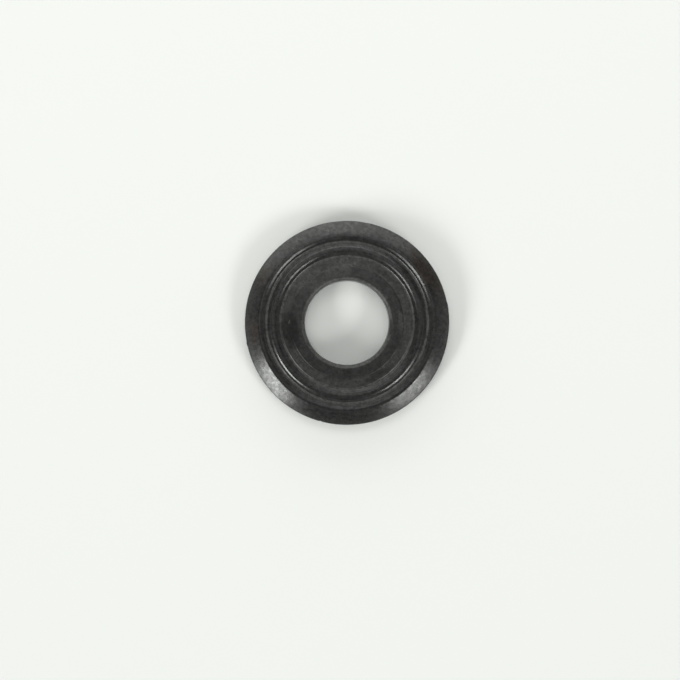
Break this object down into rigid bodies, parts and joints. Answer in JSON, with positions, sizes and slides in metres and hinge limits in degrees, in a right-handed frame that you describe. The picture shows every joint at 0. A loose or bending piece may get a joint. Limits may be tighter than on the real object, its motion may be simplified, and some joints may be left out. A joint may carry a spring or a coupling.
{
  "type": "valve cover bolt seal",
  "caption": "Round black rubber seal for a cover bolt: bevelled rim, ribbed upper face with a lower seat, central bore for the bolt, flat underside.",
  "frame": {"origin": "middle of the flat underside, on the axis of the bore", "axes": "+Z along the bore, from the flat underside up to the ribbed face; the ring is round, so X and Y are free"},
  "size_m": [0.023, 0.023, 0.0022],
  "materials": {
    "seal_rubber": "satin moulded black rubber"
  },
  "bodies": {
    "root": {"seal": "seal_rubber"}
  },
  "joints": []
}
